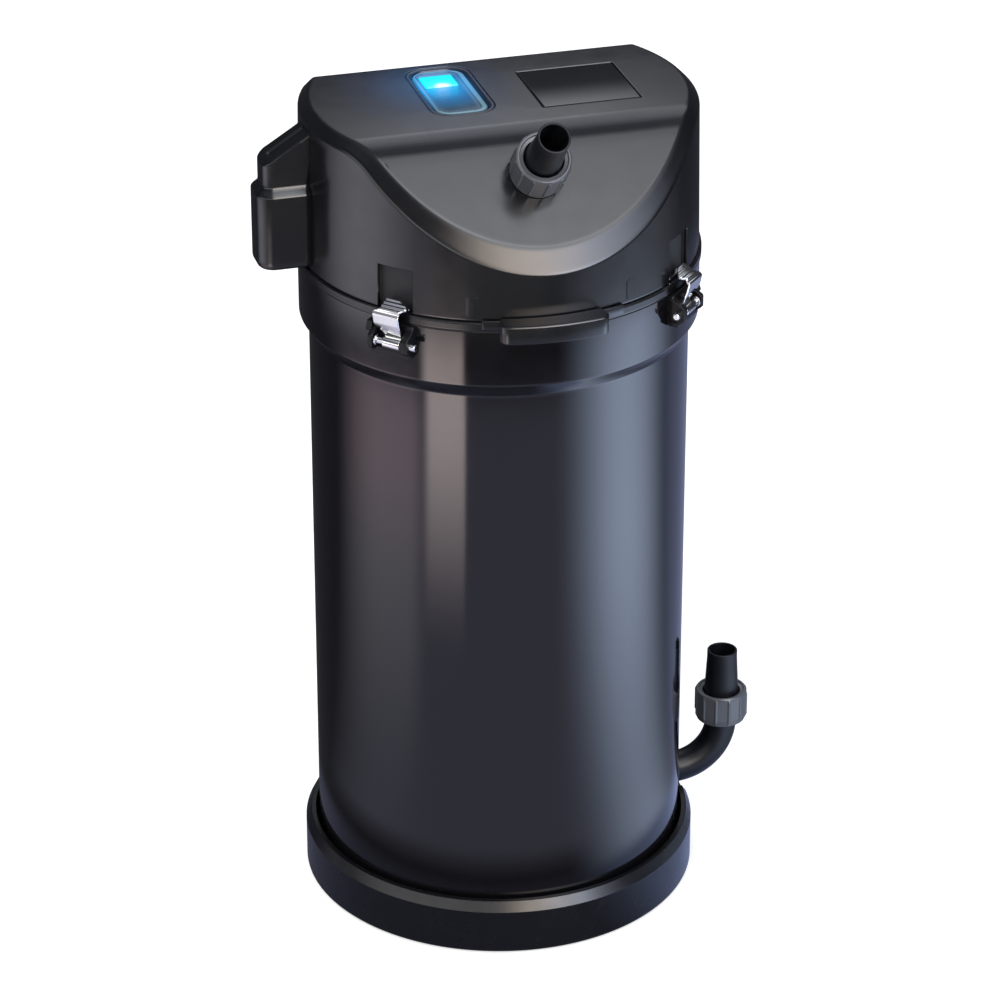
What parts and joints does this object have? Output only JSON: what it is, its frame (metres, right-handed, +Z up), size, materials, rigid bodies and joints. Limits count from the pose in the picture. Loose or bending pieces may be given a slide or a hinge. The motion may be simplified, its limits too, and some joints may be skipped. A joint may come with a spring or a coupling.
{
  "type": "canister filter",
  "caption": "External aquarium canister filter with a sloped pump head, lit button, clips, base ring, low inlet elbow and hose tails with clamping nuts.",
  "frame": {"origin": "centre of the base ring's underside, on the canister's axis", "axes": "+Z up along the canister, front with the sloped face and the lifting tab towards -Y, inlet elbow towards +X"},
  "size_m": [0.2203, 0.1794, 0.3791],
  "materials": {
    "base_plastic": "satin black ABS",
    "canister_plastic": "glossy smoked black",
    "head_plastic": "fine spark-eroded satin, dark grey",
    "flange_plastic": "satin black",
    "pipe_plastic": "satin black",
    "nut_plastic": "satin mid grey",
    "black_rubber": "smooth",
    "natural_plastic": "satin dark grey",
    "screen_plastic": "satin green",
    "ceramic": "unglazed ceramic",
    "coarse_foam": "open blue foam",
    "fine_fleece": "white fleece",
    "media_granules": "rough sintered granules",
    "bracket_plastic": "satin black",
    "pin_steel": "bright steel",
    "clip_chrome": "bright nickel",
    "ferrite": "sintered ferrite",
    "lamination": "stacked sheet",
    "copper_wire": "enamelled winding",
    "board_laminate": "green solder mask",
    "board_black": "moulded black",
    "cap_plastic": "smoked translucent",
    "window_light": "lit cyan",
    "panel_gloss": "smooth gloss"
  },
  "bodies": {
    "filter": {"base_ring": "base_plastic", "canister": "canister_plastic", "inlet_grommet": "black_rubber", "lower_screen": "screen_plastic", "media_rings": "ceramic", "coarse_pad": "coarse_foam", "media_bed": "media_granules", "fine_pad": "fine_fleece", "upper_screen": "screen_plastic", "clip_bracket_front_left": "bracket_plastic", "clip_bracket_front_right": "bracket_plastic", "clip_bracket_rear_left": "bracket_plastic", "clip_bracket_rear_right": "bracket_plastic", "clip_pin_front_left": "pin_steel", "clip_pin_front_right": "pin_steel", "clip_pin_rear_left": "pin_steel", "clip_pin_rear_right": "pin_steel", "head_base": "flange_plastic", "head_gasket": "black_rubber", "head_housing": "head_plastic", "head_screws": "pin_steel", "cable_housing": "head_plastic", "cable_gland": "black_rubber", "impeller_cover": "natural_plastic", "pump_shaft": "ceramic", "lower_bush": "black_rubber", "upper_bush": "black_rubber", "stator_core": "lamination", "stator_coils": "copper_wire", "control_board": "board_laminate", "board_parts": "board_black", "button_bezel": "head_plastic", "panel_inlay": "panel_gloss", "outlet_spigot": "pipe_plastic", "outlet_o_ring": "black_rubber"},
    "clip_front_left": {"clip_lever_front_left": "clip_chrome"},
    "clip_front_right": {"clip_lever_front_right": "clip_chrome"},
    "clip_rear_left": {"clip_lever_rear_left": "clip_chrome"},
    "clip_rear_right": {"clip_lever_rear_right": "clip_chrome"},
    "button": {"button_cap": "cap_plastic", "light_window": "window_light"},
    "rotor": {"impeller": "natural_plastic", "rotor_magnet": "ferrite"},
    "elbow": {"inlet_elbow": "pipe_plastic", "inlet_retainer": "natural_plastic"},
    "inlet_nut": {"inlet_nut": "nut_plastic"},
    "outlet_nut": {"outlet_nut": "nut_plastic"}
  },
  "joints": [
    {"name": "clip_front_left_open", "type": "hinge", "parent": "filter", "child": "clip_front_left", "pos_m": [-0.06366, -0.06148, 0.286], "axis": [0.6947, -0.7193, 0], "range_deg": [0, 105]},
    {"name": "clip_front_right_open", "type": "hinge", "parent": "filter", "child": "clip_front_right", "pos_m": [0.06366, -0.06148, 0.286], "axis": [0.6947, 0.7193, 0], "range_deg": [0, 105]},
    {"name": "clip_rear_left_open", "type": "hinge", "parent": "filter", "child": "clip_rear_left", "pos_m": [-0.06366, 0.06148, 0.286], "axis": [-0.6947, -0.7193, 0], "range_deg": [0, 105]},
    {"name": "clip_rear_right_open", "type": "hinge", "parent": "filter", "child": "clip_rear_right", "pos_m": [0.06366, 0.06148, 0.286], "axis": [-0.6947, 0.7193, 0], "range_deg": [0, 105]},
    {"name": "button_press", "type": "slide", "parent": "filter", "child": "button", "axis": [0, 0, -1], "range_m": [0, 0.001], "stiffness_N_per_m": 800, "springref_m": -0.001},
    {"name": "rotor_spin", "type": "hinge", "parent": "filter", "child": "rotor", "pos_m": [0, 0.03, 0.3], "axis": [0, 0, 1], "continuous": true},
    {"name": "elbow_swivel", "type": "hinge", "parent": "filter", "child": "elbow", "pos_m": [0.0806, 0, 0.029], "axis": [1, 0, 0], "range_deg": [-90, 90]},
    {"name": "inlet_nut_turn", "type": "hinge", "parent": "elbow", "child": "inlet_nut", "pos_m": [0.104, 0, 0.052], "axis": [0, 0, 1], "range_deg": [0, 300]},
    {"name": "outlet_nut_turn", "type": "hinge", "parent": "filter", "child": "outlet_nut", "pos_m": [0, -0.0555, 0.3503], "axis": [0, -0.7071, 0.7071], "range_deg": [0, 300]}
  ]
}
